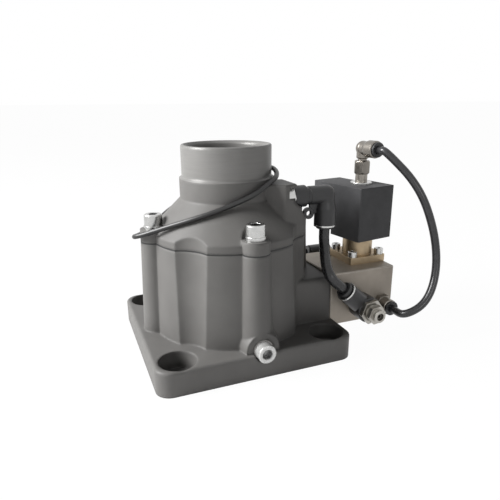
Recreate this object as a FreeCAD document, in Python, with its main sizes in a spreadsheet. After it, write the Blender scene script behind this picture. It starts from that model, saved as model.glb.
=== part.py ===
import FreeCAD, Part
import Sketcher
import math
import os
from FreeCAD import Placement, Rotation, Vector

# Compressor intake valve, built in millimetres. The origin is the centre of the base plate's
# underside, +X runs to the solenoid side, +Y away from the viewer and +Z up the air inlet.

doc = FreeCAD.newDocument("IntakeValve")
sheet = doc.addObject("Spreadsheet::Sheet", "Sizes")


class Size:
    """A length with the spreadsheet expression that drives it."""

    def __init__(self, value, text):
        self.value = float(value)
        self.text = text

    def __float__(self):
        return self.value

    def __add__(self, other):
        return Size(self.value + float(other), "(%s + %s)" % (self.text, words(other)))

    def __radd__(self, other):
        return self + other

    def __sub__(self, other):
        return Size(self.value - float(other), "(%s - %s)" % (self.text, words(other)))

    def __rsub__(self, other):
        return Size(float(other) - self.value, "(%s - %s)" % (words(other), self.text))

    def __mul__(self, other):
        return Size(self.value * float(other), "(%s * %s)" % (self.text, words(other)))

    def __rmul__(self, other):
        return self * other

    def __neg__(self):
        return self * -1


def words(value):
    """The expression text of a size, or a plain number."""
    if isinstance(value, Size):
        return value.text
    return "%.6g" % value


row = 0


def size(alias, value):
    """Write one driving size into the spreadsheet and give it back."""
    global row
    row = row + 1
    sheet.set("A%d" % row, alias)
    sheet.set("B%d" % row, "%.6g" % value)
    sheet.setAlias("B%d" % row, alias)
    return Size(value, "Sizes." + alias)


# Fits and clearances
run_gap = size("running_clearance", 0.05)
thread_gap = size("thread_clearance", 0.05)
tube_gap = size("tube_clearance", 0.06)
part_gap = size("part_clearance", 0.3)

# Base plate and its mounting bolts
plate_side = size("plate_half_width", 72.5)
plate_half = size("plate_half_depth", 70)
plate_top = size("plate_top", 18)
plate_corner = size("plate_corner_radius", 10.5)
plate_edge = size("plate_edge_radius", 2)
bolt_half = size("bolt_half_spacing", 56)
bolt_hole = size("bolt_hole_radius", 6.75)
bolt_recess = size("bolt_recess_radius", 13)
bolt_floor = size("bolt_recess_floor", 5)

# Body casting
seam_low = size("seam_low", 85.5)
seam_high = size("seam_high", 86.5)
barrel_low = size("barrel_low_radius", 60)
barrel_high = size("barrel_high_radius", 57.6)
scallop_low = size("scallop_low_radius", 22.5)
scallop_high = size("scallop_high_radius", 26)
lobe_low = size("lobe_low_radius", 12)
lobe_high = size("lobe_high_radius", 9.8)
screw_ring = size("cover_screw_circle", 56)
chamber = size("chamber_radius", 46)
outlet = size("outlet_radius", 38)
hub_out = size("hub_outer_radius", 25)
hub_top = size("hub_top", 66)
hub_low = size("hub_bottom", 1)
cylinder_r = size("piston_bore_radius", 20)
cylinder_top = size("piston_bore_top", 48)
rib_half = size("rib_half_thickness", 5)
pad_face = size("pad_face", 69.5)
pad_front = size("pad_front", 38)
pad_back = size("pad_back", 18.5)
pad_top = size("pad_top", 52.5)
boss_radius = size("front_boss_radius", 12)
boss_face = plate_half - size("front_boss_setback", 3)
boss_height = size("front_boss_height", 19.7)
boss_recess = size("front_boss_recess", 1)
boss_side = size("front_boss_offset", 1)
air_y = size("air_passage_offset", 0)
air_z = size("air_passage_height", 45)
drill = size("passage_radius", 2.5)

# Cover casting
rim_radius = size("rim_radius", 57.5)
collar = size("collar_radius", 34.8)
rim_height = size("rim_height", 5.2)
collar_top = size("collar_top", 129)
neck = size("neck_radius", 33)
neck_top = size("neck_top", 152.5)
bore = size("inlet_bore_radius", 29)
bore_edge = size("inlet_bore_chamfer", 2)
screw_seat = size("screw_seat_height", 95)
seat_recess = size("screw_recess_radius", 9.2)
pocket_r = size("cover_pocket_radius", 44)
seat_height = size("valve_seat_height", 90)
seat_out = size("valve_seat_outer_radius", 31.5)
port_y = size("control_port_offset", -26)
port_z = size("control_port_height", 115)
port_seat = size("control_port_seat", 33.5)

# Cover screws
screw_r = size("cover_screw_radius", 4)
head_r = size("cover_screw_head_radius", 6.5)
head_h = size("cover_screw_head_height", 8)
head_hex = size("cover_screw_socket", 6)
spring_washer = size("spring_washer_height", 2.6)

# Valve disc, spindle and piston
disc_r = size("disc_radius", 33.5)
disc_gap = size("disc_gap_below_seat", 0.6)
disc_foot = size("disc_foot_depth", 8.9)
rod_r = size("rod_radius", 6)
rod_end = size("rod_end_radius", 5)
piston_low = size("piston_bottom", 24)
piston_top = size("piston_top", 40)
piston_web = size("piston_web_height", 36)
spring_low = size("spring_seat_height", 8)
coil_mean = size("return_spring_radius", 12.9)
coil_wire = size("return_spring_wire_radius", 1.2)

# Blowdown block on the side of the body
block_left = size("block_left", 70)
block_right = size("block_right", 128.3)
block_front = size("block_front", 37.5)
block_back = size("block_back", 18.5)
block_low = size("block_bottom", 11.5)
block_top = size("block_top", 54.3)
fix_r = size("block_screw_radius", 3)
fix_head = size("block_screw_head_radius", 5)
fix_head_h = size("block_screw_head_height", 6)
fix_one_y = size("block_screw_one_offset", -28)
fix_one_z = size("block_screw_one_height", 46)
fix_two_y = size("block_screw_two_offset", 11)
fix_two_z = size("block_screw_two_height", 20)
dump_x = size("dump_bore_x", 94)
dump_y = size("dump_bore_offset", -4)
dump_top = size("dump_bore_top", 40)
dump_r = size("dump_bore_radius", 9)
dump_cap = size("dump_cap_top", 17.5)

# Solenoid valve
sol_x = size("solenoid_x", 112.2)
sol_y = size("solenoid_y", -8)
flange_half = size("solenoid_flange_half", 16.6)
flange_screw = size("flange_screw_offset", 12.6)
flange_top = size("solenoid_flange_top", 60)
sleeve_r = size("armature_tube_radius", 6.9)
sleeve_in = size("armature_tube_bore", 5.3)
coil_low = size("coil_bottom", 74.5)
coil_top = size("coil_top", 117.2)
coil_half = size("coil_half_width", 17.8)
coil_front = size("coil_front", 19.2)
coil_back = size("coil_back", 14.5)
sleeve_top = size("armature_tube_top", 125.3)

# Fittings and tubes
banjo_x = size("banjo_x", 94.5)
banjo_z = size("banjo_z", 28)
banjo_mid_y = size("banjo_eye_middle", 10.9)
return_x = size("return_port_x", 118)
return_z = size("return_port_z", 24)
elbow_x = size("control_elbow_x", 69.1)
vent_z = size("vent_elbow_height", 145.5)
rear_x = size("rear_port_x", 107)
rear_y = size("rear_elbow_y", 38)
rear_z = size("rear_port_z", 48.5)
control_r = size("control_tube_radius", 4)
exhaust_r = size("exhaust_tube_radius", 3)

doc.recompute()
nodes = []


def bind(thing, field, value):
    """Drive one property from the spreadsheet, or set it where it is a fixed number."""
    if isinstance(value, Size):
        thing.setExpression(field, value.text)
    else:
        setattr(thing, field, value)


def put(thing, at, along=(0, 0, 1), about=0):
    """Place a thing with its own Z along the given direction."""
    turn = Rotation(Vector(0, 0, 1), Vector(*along))
    spin = Rotation(Vector(0, 0, 1), about)
    thing.Placement = Placement(Vector(*[float(v) for v in at]), turn.multiply(spin))
    for letter, value in zip("xyz", at):
        if isinstance(value, Size):
            thing.setExpression("Placement.Base." + letter, value.text)
    return thing


def box(name, low, high):
    """A box between two corners."""
    made = doc.addObject("Part::Box", name)
    for field, a, b in zip(("Length", "Width", "Height"), low, high):
        bind(made, field, b - a)
    return put(made, low)


def rod(name, radius, length, at, along=(0, 0, 1)):
    """A cylinder from a point along a direction."""
    made = doc.addObject("Part::Cylinder", name)
    bind(made, "Radius", radius)
    bind(made, "Height", length)
    return put(made, at, along)


def cone(name, first, last, length, at, along=(0, 0, 1)):
    """A cone from a point along a direction."""
    made = doc.addObject("Part::Cone", name)
    bind(made, "Radius1", first)
    bind(made, "Radius2", last)
    bind(made, "Height", length)
    return put(made, at, along)


def ball(name, radius, at):
    """A sphere about a point."""
    made = doc.addObject("Part::Sphere", name)
    bind(made, "Radius", radius)
    return put(made, at)


def hexagon(name, flats, length, at, along=(0, 0, 1), about=0):
    """A hexagonal prism given by the width over its flats."""
    made = doc.addObject("Part::Prism", name)
    made.Polygon = 6
    bind(made, "Circumradius", flats * (0.5 / math.cos(math.pi / 6)))
    bind(made, "Height", length)
    return put(made, at, along, about)


def joined(name, pieces):
    """Several shapes fused into one."""
    made = doc.addObject("Part::MultiFuse", name)
    made.Shapes = pieces
    made.Refine = True
    return made


def cut(name, base, tools):
    """A shape with others taken out of it."""
    tool = tools[0]
    if len(tools) > 1:
        tool = joined(name + "Tools", tools)
        tool.Refine = False
    made = doc.addObject("Part::Cut", name)
    made.Base = base
    made.Tool = tool
    made.Refine = True
    return made


def common(name, pieces):
    """What several shapes share."""
    made = doc.addObject("Part::MultiCommon", name)
    made.Shapes = pieces
    made.Refine = True
    return made


def group(name, pieces):
    """Separate solids kept in one node."""
    made = doc.addObject("Part::Compound", name)
    made.Links = pieces
    return made


def sketch_in(body, name, role, corners):
    """A closed polygon sketch on one of the body's own planes, every corner dimensioned."""
    sketch = body.newObject("Sketcher::SketchObject", name + "Sketch")
    plane = [f for f in body.Origin.OriginFeatures if f.Role == role][0]
    sketch.AttachmentSupport = [(plane, "")]
    sketch.MapMode = "FlatFace"
    spots = [Vector(float(a), float(b), 0) for a, b in corners]
    count = len(spots)
    lines = [Part.LineSegment(spots[i], spots[(i + 1) % count]) for i in range(count)]
    sketch.addGeometry(lines, False)
    rules = [Sketcher.Constraint("Coincident", i, 2, (i + 1) % count, 1) for i in range(count)]
    driven = []
    for i, (a, b) in enumerate(corners):
        for kind, axis, value in (("DistanceX", -2, a), ("DistanceY", -1, b)):
            if float(value) == 0.0:
                rules.append(Sketcher.Constraint("PointOnObject", i, 1, axis))
                continue
            if isinstance(value, Size):
                driven.append((len(rules), value))
            rules.append(Sketcher.Constraint(kind, -1, 1, i, 1, float(value)))
    sketch.addConstraint(rules)
    for index, value in driven:
        sketch.setExpression("Constraints[%d]" % index, value.text)
    return sketch


def turned(name, profile, at=(0, 0, 0), along=(0, 0, 1)):
    """A turned piece: a closed profile of radius and height corners, revolved about its axis."""
    body = doc.addObject("PartDesign::Body", name)
    sketch = sketch_in(body, name, "XZ_Plane", profile)
    turn = body.newObject("PartDesign::Revolution", name + "Turn")
    turn.Profile = sketch
    turn.ReferenceAxis = (sketch, ["V_Axis"])
    turn.Angle = 360
    return put(body, at, along)


def slab(name, outline, low, high):
    """A vertical prism of a plan outline between two heights."""
    body = doc.addObject("PartDesign::Body", name)
    sketch = sketch_in(body, name, "XY_Plane", outline)
    pad = body.newObject("PartDesign::Pad", name + "Pad")
    pad.Profile = sketch
    bind(pad, "Length", high - low)
    return put(body, (0, 0, low))


def ring(name, inner, outer, low, high, at=(0, 0, 0), along=(0, 0, 1)):
    """A plain ring along an axis."""
    return turned(name, [(inner, low), (outer, low), (outer, high), (inner, high)], at, along)


def node(made, label):
    """Keep a finished piece under the name it is exported with."""
    made.Label = label
    nodes.append(made)
    return made


def edges_of(made, test):
    """Numbers of the edges whose middle point passes a test."""
    found = []
    for i, edge in enumerate(made.Shape.Edges):
        middle = edge.valueAt((edge.FirstParameter + edge.LastParameter) / 2)
        if test(middle, edge):
            found.append(i + 1)
    return found


def rounded(name, base, radius, test, kind="Part::Fillet"):
    """Round or bevel the edges that pass a test."""
    doc.recompute()
    made = doc.addObject(kind, name)
    made.Base = base
    made.Edges = [(i, float(radius), float(radius)) for i in edges_of(base, test)]
    return made


X_OUT = (1, 0, 0)
X_IN = (-1, 0, 0)
FRONT = (0, -1, 0)
BACK = (0, 1, 0)
SCREW_SPOTS = ((screw_ring, 0), (0, screw_ring), (-screw_ring, 0), (0, -screw_ring))
BOLT_SPOTS = ((bolt_half, bolt_half), (-bolt_half, bolt_half),
              (-bolt_half, -bolt_half), (bolt_half, -bolt_half))


# Outline shared by the body, gasket and cover
def scallops(name, low, high, first, last):
    """Tapered cutters that hollow the barrel above each mounting bolt."""
    cutters = []
    for i, (x, y) in enumerate(BOLT_SPOTS):
        cutters.append(cone("%s%d" % (name, i), first, last, high - low, (x, y, low)))
    return cutters


def lobes(name, low, high, first, last):
    """Bosses that carry the cover screws."""
    made = []
    for i, (x, y) in enumerate(SCREW_SPOTS):
        made.append(cone("%s%d" % (name, i), first, last, high - low, (x, y, low)))
    return made


def screw_holes(name, radius, low, high):
    """Holes for the cover screws."""
    made = []
    for i, (x, y) in enumerate(SCREW_SPOTS):
        made.append(rod("%s%d" % (name, i), radius, high - low, (x, y, low)))
    return made


# Body casting
plate_box = box("PlateBox", (-plate_side, -plate_half, 0), (plate_side, plate_half, plate_top))
plate_round = rounded("PlateRound", plate_box, plate_corner,
                      lambda p, e: abs(e.BoundBox.ZLength - float(plate_top)) < 0.01)
plate = rounded("Plate", plate_round, plate_edge,
                lambda p, e: abs(p.z - float(plate_top)) < 0.01)
barrel = cone("Barrel", barrel_low, barrel_high, seam_low - 17, (0, 0, 17))
barrel_cut = cut("BarrelScalloped", barrel,
                 scallops("Scallop", plate_top - 2, seam_low + 0.5, scallop_low, scallop_high))
pad = rounded("SidePad", box("SidePadBox", (40, -pad_front, 12), (pad_face, pad_back, pad_top)), 4,
              lambda p, e: e.BoundBox.XLength > 20 and p.z > 40)
front_boss = cone("FrontBoss", boss_radius, boss_radius + 6, 22, (boss_side, -boss_face, boss_height), BACK)
casting = joined("CastingOuter", [plate, barrel_cut, pad, front_boss]
                 + lobes("Lobe", plate_top - 1, seam_low, lobe_low, lobe_high))
chamber_space = turned("ChamberSpace", [(0, -1), (outlet, -1), (outlet, plate_top + 2),
                                        (chamber, plate_top + 12), (chamber, seam_low + 1),
                                        (0, seam_low + 1)])
casting_open = cut("CastingOpen", casting, [chamber_space])
hub = rod("Hub", hub_out, hub_top - hub_low, (0, 0, hub_low))
rib_x = box("RibX", (-chamber - 1, -rib_half, 6), (chamber + 1, rib_half, 58))
rib_y = box("RibY", (-rib_half, -chamber - 1, 6), (rib_half, chamber + 1, 58))
casting_hub = joined("CastingHub", [casting_open, hub, rib_x, rib_y])
cylinder_space = turned("CylinderSpace", [
    (0, hub_low - 1), (cylinder_r, hub_low - 1), (cylinder_r, 2.5), (cylinder_r + 1, 2.5),
    (cylinder_r + 1, 4), (cylinder_r, 4), (cylinder_r, cylinder_top), (9, cylinder_top),
    (9, hub_top + 1), (0, hub_top + 1)])
body_tools = [cylinder_space]
for number, (x, y) in enumerate(BOLT_SPOTS):
    body_tools.append(rod("BoltHole%d" % number, bolt_hole, plate_top + 2, (x, y, -1)))
    body_tools.append(rod("BoltRecess%d" % number, bolt_recess, 60, (x, y, bolt_floor)))
body_tools += screw_holes("ScrewThread", screw_r, 66, seam_low + 1)
body_tools.append(box("BlockRelief", (block_left - 0.3, -block_front - 0.5, -1),
                      (block_left + 9, block_back + 0.5, plate_top + 1)))
body_tools.append(rod("PlugRecess", 7.6, plate_half + 1 - boss_face + boss_recess,
                      (boss_side, -plate_half - 1, boss_height), BACK))
body_tools.append(rod("PlugThread", screw_r, 20, (boss_side, -boss_face - 1, boss_height), BACK))
body_tools.append(rod("BreatherDrill", drill, 54, (boss_side, -boss_face - 1, boss_height), BACK))
body_tools.append(rod("AirDrill", drill, 52, (19, air_y, air_z), X_OUT))
for number, (y, z) in enumerate(((fix_one_y, fix_one_z), (fix_two_y, fix_two_z))):
    body_tools.append(rod("PadThread%d" % number, fix_r, 19.5, (51, y, z), X_OUT))
node(cut("ValveBody", casting_hub, body_tools), "valve_body")

# Plug in the front boss
plug_at = (boss_side, -boss_face + boss_recess, boss_height)
plug_head = 1 + head_h
node(ring("PlugWasher", screw_r + 0.2, head_r + 0.6, 0, 1, plug_at, FRONT), "plug_washer")
plug_blank = turned("PlugBlank", [
    (0, -14), (screw_r - thread_gap, -14), (screw_r - thread_gap, 1), (head_r, 1),
    (head_r, plug_head - 0.8), (head_r - 0.8, plug_head), (0, plug_head)], plug_at, FRONT)
plug_bevel = cone("PlugBevel", 3, 4.2, 1.2, (boss_side, plug_at[1] - plug_head + 1.1, boss_height), FRONT)
plug_hex = hexagon("PlugHex", head_hex, 5, (boss_side, plug_at[1] - plug_head + 4, boss_height), FRONT)
node(cut("ControlPlug", plug_blank, [plug_hex, plug_bevel]), "port_plug")

# Gasket at the seam
gasket_disc = rod("GasketDisc", barrel_high, seam_high - seam_low, (0, 0, seam_low))
gasket_cut = cut("GasketCut", gasket_disc,
                 scallops("GasketScallop", seam_low - 0.5, seam_high + 0.5, scallop_high, scallop_high))
gasket_all = joined("GasketAll", [gasket_cut] + lobes("GasketLobe", seam_low, seam_high,
                                                      lobe_high, lobe_high))
node(cut("CoverGasket", gasket_all,
         [rod("GasketBore", chamber, 3, (0, 0, seam_low - 1))]
         + screw_holes("GasketHole", screw_r + 0.5, seam_low - 1, seam_high + 1)), "cover_gasket")

# Cover casting
cone_foot = seam_high + rim_height
cone_head = cone_foot + rim_radius - collar
pocket_top = seat_height + 2
cover_turned = turned("CoverTurned", [
    (0, seam_high), (rim_radius, seam_high), (rim_radius, cone_foot), (collar, cone_head),
    (collar, collar_top), (neck, collar_top + 1), (neck, neck_top - 0.8), (neck - 0.8, neck_top),
    (0, neck_top)])
cover_cut = cut("CoverScalloped", cover_turned,
                scallops("CoverScallop", seam_high - 0.5, screw_seat + 4, scallop_high, scallop_high))
boss_foot = seam_high + 1.5
boss_top = collar_top - 3
boss_plan = slab("BossPlan", [(4, -4), (18.6, -29.4), (30.3, -38.3), (40.5, -35), (50.6, -30.5),
                              (50.6, -16), (26, -8)], boss_foot, boss_top)
boss_side_body = doc.addObject("PartDesign::Body", "BossSide")
boss_sketch = sketch_in(boss_side_body, "BossSide", "XZ_Plane", [
    (5, boss_foot), (50.6, boss_foot), (50.6, port_z - 15.8), (45.4, port_z - 8.5),
    (43.8, port_z - 1.8), (42.8, boss_top - 3.6), (39.2, boss_top), (5, boss_top)])
boss_pad = boss_side_body.newObject("PartDesign::Pad", "BossSidePad")
boss_pad.Profile = boss_sketch
boss_pad.Length = 60
put(boss_side_body, (0, 5, 0))
elbow_boss = common("ElbowBoss", [boss_plan, boss_side_body])
cover_lobes = lobes("CoverLobe", seam_high, screw_seat, lobe_high, lobe_high)
cover_spigot = turned("CoverSpigot", [
    (pocket_r - 1, seam_low - 3), (chamber - run_gap, seam_low - 3),
    (chamber - run_gap, seam_high + 0.5), (pocket_r - 1, seam_high + 0.5)])
cover_all = joined("CoverOuter", [cover_cut, elbow_boss, cover_spigot] + cover_lobes)
seat_ring = turned("CoverSpace", [
    (0, seam_low - 4), (pocket_r, seam_low - 4), (pocket_r, pocket_top),
    (seat_out + 1.5, pocket_top), (seat_out, seat_height), (bore, seat_height),
    (bore, neck_top - bore_edge), (bore + bore_edge, neck_top), (bore + bore_edge, neck_top + 1),
    (0, neck_top + 1)])
cover_tools = [seat_ring]
cover_tools += screw_holes("CoverHole", screw_r + 0.5, seam_low, screw_seat + 1)
cover_tools += screw_holes("SeatRecess", seat_recess, screw_seat, screw_seat + 30)
cover_tools.append(rod("PortSeat", 9.5, 30, (port_seat, port_y, port_z), X_OUT))
cover_tools.append(box("PortFront", (port_seat, -45, port_z + 0.8), (port_seat + 14, port_y, port_z + 8.6)))
cover_tools.append(rod("PortThread", 6.5, 11, (port_seat + 1, port_y, port_z), X_IN))
cover_tools.append(rod("PortDrill", 3, 30, (port_seat, port_y, port_z), X_IN))
node(cut("IntakeCover", cover_all, cover_tools), "intake_cover")

# Cover screws on their spring washers
screws = []
washers = []
under_head = screw_seat + spring_washer
for number, (x, y) in enumerate(SCREW_SPOTS):
    blank = turned("CoverScrewBlank%d" % number, [
        (0, 70), (screw_r - thread_gap - 0.6, 70), (screw_r - thread_gap, 71),
        (screw_r - thread_gap, under_head), (head_r, under_head), (head_r, under_head + head_h - 0.7),
        (head_r - 0.7, under_head + head_h), (0, under_head + head_h)], (x, y, 0))
    socket = hexagon("CoverSocket%d" % number, head_hex, 5, (x, y, under_head + head_h - 4),
                     (0, 0, 1), 20 * number)
    screws.append(cut("CoverScrew%d" % number, blank, [socket]))
    flat = ring("SpringWasherRing%d" % number, screw_r + 0.2, head_r + 0.5, screw_seat, under_head,
                (x, y, 0))
    split = box("SpringWasherSplit%d" % number, (x, y - 0.4, screw_seat - 1),
                (x + 12, y + 0.4, under_head + 1))
    washers.append(cut("SpringWasher%d" % number, flat, [split]))
node(group("CoverScrews", screws), "cover_screws")
node(group("CoverSpringWashers", washers), "cover_spring_washers")

# Valve disc with its facing ring, closed against the seat in the cover
disc_top = seat_height - disc_gap
disc_low = disc_top - disc_foot
seal_floor = disc_top - 2.4
seal_in = bore - 2.5
seal_out = seat_out + 1.2
node(turned("ValveDisc", [
    (rod_end + run_gap, disc_low), (11, disc_low), (14, disc_low + 2.5), (disc_r, disc_low + 4),
    (disc_r, disc_top), (seal_out, disc_top), (seal_out, seal_floor), (seal_in, seal_floor),
    (seal_in, disc_top), (rod_end + run_gap, disc_top)]), "valve_disc")
node(ring("DiscSeal", seal_in + 0.05, seal_out - 0.05, seal_floor, seat_height - run_gap), "disc_seal")
node(turned("PistonRod", [
    (0, piston_low + 1.5), (rod_end - 0.8, piston_low + 1.5), (rod_end, piston_low + 2.5),
    (rod_end, piston_top), (rod_r, piston_top), (rod_r, disc_low), (rod_end, disc_low),
    (rod_end, disc_top + 9.1), (rod_end - 1, disc_top + 10.1), (0, disc_top + 10.1)]), "piston_rod")


def nut(name, flats, low, high, hole, bevel=0.8, at=(0, 0, 0)):
    """A hexagon nut with turned corners."""
    blank = hexagon(name + "Hex", flats, high - low, (at[0], at[1], low))
    corner = flats * 0.5774
    round_top = turned(name + "Round", [
        (hole, low), (corner - bevel, low), (corner, low + bevel), (corner, high - bevel),
        (corner - bevel, high), (hole, high)], at)
    return common(name, [blank, round_top])


node(nut("DiscNut", 17, disc_top, disc_top + 8, rod_end + run_gap), "disc_nut")
node(nut("PistonNut", 17, piston_web - 8, piston_web, rod_end + run_gap), "piston_nut")
node(ring("GuideBush", rod_r + run_gap, 8.98, cylinder_top + 1, hub_top - 0.5), "guide_bush")
groove = cylinder_r - 3
groove_low = piston_low + 5.5
groove_high = groove_low + 3.5
piston_in = cylinder_r - 4.5
node(turned("ControlPiston", [
    (rod_end + run_gap, piston_web), (piston_in, piston_web), (piston_in, piston_low),
    (cylinder_r - run_gap, piston_low), (cylinder_r - run_gap, groove_low), (groove, groove_low),
    (groove, groove_high), (cylinder_r - run_gap, groove_high), (cylinder_r - run_gap, piston_top),
    (rod_end + run_gap, piston_top)]), "control_piston")
node(turned("PistonSeal", [
    (groove + 0.05, groove_low + 0.1), (cylinder_r - 0.5, groove_low + 0.1),
    (cylinder_r - 0.02, groove_low + 0.7), (cylinder_r - 0.02, groove_high - 0.7),
    (cylinder_r - 0.5, groove_high - 0.1), (groove + 0.05, groove_high - 0.1)]), "piston_seal")
node(ring("HubCap", 3, cylinder_r - run_gap, 4, spring_low), "hub_cap")
snap = ring("SnapRingBlank", cylinder_r - 2.5, cylinder_r + 0.9, 2.6, 3.9)
node(cut("SnapRing", snap, [box("SnapRingGap", (10, -4, 0), (30, 4, 6))]), "hub_snap_ring")


def coil_spring(name, radius, wire, low, high, turns, at=(0, 0, 0), along=(0, 0, 1)):
    """A compression spring with ends ground flat between two heights."""
    low, high, radius, wire = float(low), float(high), float(radius), float(wire)
    helix = Part.makeHelix((high - low) / turns, high - low, radius)
    section = Part.Wire([Part.Circle(Vector(radius, 0, 0), Vector(0, 1, 0), wire).toShape()])
    coil = Part.Wire(helix.Edges).makePipeShell([section], True, True)
    coil.translate(Vector(0, 0, low))
    space = Part.makeCylinder(radius * 2, high - low, Vector(0, 0, low))
    made = doc.addObject("Part::Feature", name)
    made.Shape = coil.common(space)
    return put(made, at, along)


node(coil_spring("ReturnSpring", coil_mean, coil_wire, spring_low, piston_web, 4.5), "return_spring")

# Blowdown block with its gasket and screws
block_box = rounded("BlockBevel", box("BlockBox", (block_left, -block_front, block_low),
                                      (block_right, block_back, block_top)), 0.8,
                    lambda p, e: True, "Part::Chamfer")
dump_tools = [
    rod("DumpBore", dump_r, dump_top - 10, (dump_x, dump_y, 10)),
    rod("DumpThread", dump_r + 1.5, dump_cap - 9.5, (dump_x, dump_y, 10)),
    rod("DumpPilot", 1.5, 8, (dump_x, dump_y, dump_top - 1)),
    rod("BanjoThread", 6.6, 15, (banjo_x, -block_front - 1, banjo_z), BACK),
    rod("BanjoDrill", 4, 30, (banjo_x, -block_front - 1, banjo_z), BACK),
    rod("ReturnThread", 4.9, 11, (return_x, -block_front - 1, return_z), BACK),
    rod("ReturnDrill", 2.5, 34, (return_x, -block_front + 8, return_z), (-18, 30, 2)),
    rod("ValveSeatBore", 8.5, 11, (sol_x, sol_y, block_top - 10), (0, 0, 1)),
    rod("ValveOrifice", 1.8, 17, (sol_x, sol_y, block_top - 9), (-12, 2, -12)),
    rod("BlockAirDrill", drill, 42, (block_left - 1, air_y, air_z), X_OUT),
    rod("RearThread", 4.05, 10, (rear_x, block_back + 1, rear_z), FRONT),
    rod("RearDrill", 2, 22, (rear_x, block_back + 1, rear_z), FRONT)]
FLANGE_SPOTS = ((flange_screw, flange_screw), (-flange_screw, flange_screw),
                (-flange_screw, -flange_screw), (flange_screw, -flange_screw))
for number, (x, y) in enumerate(FLANGE_SPOTS):
    dump_tools.append(rod("FlangeThread%d" % number, 2.05, 13,
                          (sol_x + x, sol_y + y, block_top - 12)))
for number, (y, z) in enumerate(((fix_one_y, fix_one_z), (fix_two_y, fix_two_z))):
    dump_tools.append(rod("BlockScrewHole%d" % number, fix_r + 0.4, 70, (block_left - 1, y, z), X_OUT))
    dump_tools.append(rod("BlockScrewRecess%d" % number, fix_head + 0.5, 8,
                          (block_right - 6.8, y, z), X_OUT))
node(cut("BlowdownBlock", block_box, dump_tools), "blowdown_block")
gasket_plate = box("BlockGasketPlate", (pad_face, -pad_front + 1, plate_top + part_gap),
                   (block_left, pad_back - 1, pad_top - 4))
node(cut("BlockGasket", gasket_plate,
         [rod("GasketAir", drill + 0.5, 3, (pad_face - 1, air_y, air_z), X_OUT),
          rod("GasketScrewOne", fix_r + 0.4, 3, (pad_face - 1, fix_one_y, fix_one_z), X_OUT),
          rod("GasketScrewTwo", fix_r + 1.2, 3, (pad_face - 1, fix_two_y, fix_two_z), X_OUT)]),
     "block_gasket")
block_screws = []
head_seat = block_right - 6.8
for number, (y, z) in enumerate(((fix_one_y, fix_one_z), (fix_two_y, fix_two_z))):
    blank = turned("BlockScrewBlank%d" % number, [
        (0, -69), (fix_r - thread_gap, -69), (fix_r - thread_gap, 0), (fix_head, 0),
        (fix_head, 5.4), (fix_head - 0.6, 6), (0, 6)], (head_seat, y, z), X_OUT)
    socket = hexagon("BlockSocket%d" % number, 5, 4, (head_seat + 3, y, z), X_OUT)
    block_screws.append(cut("BlockScrew%d" % number, blank, [socket]))
node(group("BlockScrews", block_screws), "block_screws")

# Blowdown piston over its cap, pushed down by the air that the solenoid lets in
piston_rise = dump_top - 4
piston_foot = dump_top - 16
node(turned("BlowdownPiston", [
    (0, piston_rise - 4), (5.5, piston_rise - 4), (5.5, piston_foot), (dump_r - run_gap, piston_foot),
    (dump_r - run_gap, piston_foot + 5), (7, piston_foot + 5), (7, piston_foot + 8),
    (dump_r - run_gap, piston_foot + 8), (dump_r - run_gap, piston_rise), (4, piston_rise),
    (4, dump_top - 0.3), (0, dump_top - 0.3)], (dump_x, dump_y, 0)), "blowdown_piston")
node(ring("BlowdownSeal", 7.05, dump_r - 0.02, piston_foot + 5.1, piston_foot + 7.9,
          (dump_x, dump_y, 0)), "blowdown_seal")
node(coil_spring("BlowdownSpring", 4.2, 0.6, dump_cap, piston_rise - 4, 4.5, (dump_x, dump_y, 0)),
     "blowdown_spring")
cap_foot = block_low + 0.8
cap_blank = turned("BlowdownCapBlank", [
    (0, cap_foot), (dump_r + 1, cap_foot), (dump_r + 1.45, cap_foot + 0.5),
    (dump_r + 1.45, dump_cap), (0, dump_cap)], (dump_x, dump_y, 0))
node(cut("BlowdownCap", cap_blank, [
    hexagon("BlowdownCapHex", 8, 5, (dump_x, dump_y, cap_foot - 1.5))]), "blowdown_cap")

# Solenoid base, armature tube and moving plunger
flange = rounded("FlangeBevel", box("FlangeBox", (sol_x - flange_half, sol_y - flange_half, block_top),
                                    (sol_x + flange_half, sol_y + flange_half, flange_top)), 1.5,
                 lambda p, e: e.BoundBox.ZLength > 5)
neck_top_z = coil_low - 1.2
base_neck = rod("BaseNeck", 12.2, neck_top_z - flange_top, (sol_x, sol_y, flange_top))
base_spigot = rod("BaseSpigot", 8.45, 5, (sol_x, sol_y, block_top - 4.5))
base_all = joined("BaseAll", [flange, base_neck, base_spigot])
base_tools = [rod("BaseBore", sleeve_r + 0.02, 20, (sol_x, sol_y, flange_top)),
              rod("BaseOrifice", 1.5, 20, (sol_x, sol_y, block_top - 6))]
for number, (x, y) in enumerate(FLANGE_SPOTS):
    base_tools.append(rod("BaseHole%d" % number, 2.3, 20, (sol_x + x, sol_y + y, block_top - 1)))
node(cut("SolenoidBase", base_all, base_tools), "solenoid_base")
node(ring("SolenoidSeal", 3, 8.3, -6.5, -4.5, (sol_x, sol_y, block_top)), "solenoid_seal")
base_screws = []
for number, (x, y) in enumerate(FLANGE_SPOTS):
    blank = turned("BaseScrewBlank%d" % number, [
        (0, -15), (2, -15), (2, 0), (3.7, 0), (3.7, 4.4), (3.3, 4.8), (0, 4.8)],
        (sol_x + x, sol_y + y, flange_top))
    socket = hexagon("BaseSocket%d" % number, 3, 3, (sol_x + x, sol_y + y, flange_top + 2.6),
                     (0, 0, 1), 15 * number)
    base_screws.append(cut("BaseScrew%d" % number, blank, [socket]))
node(group("BaseScrews", base_screws), "solenoid_base_screws")
core_low = 86.5
core_top = coil_top - 2
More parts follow.
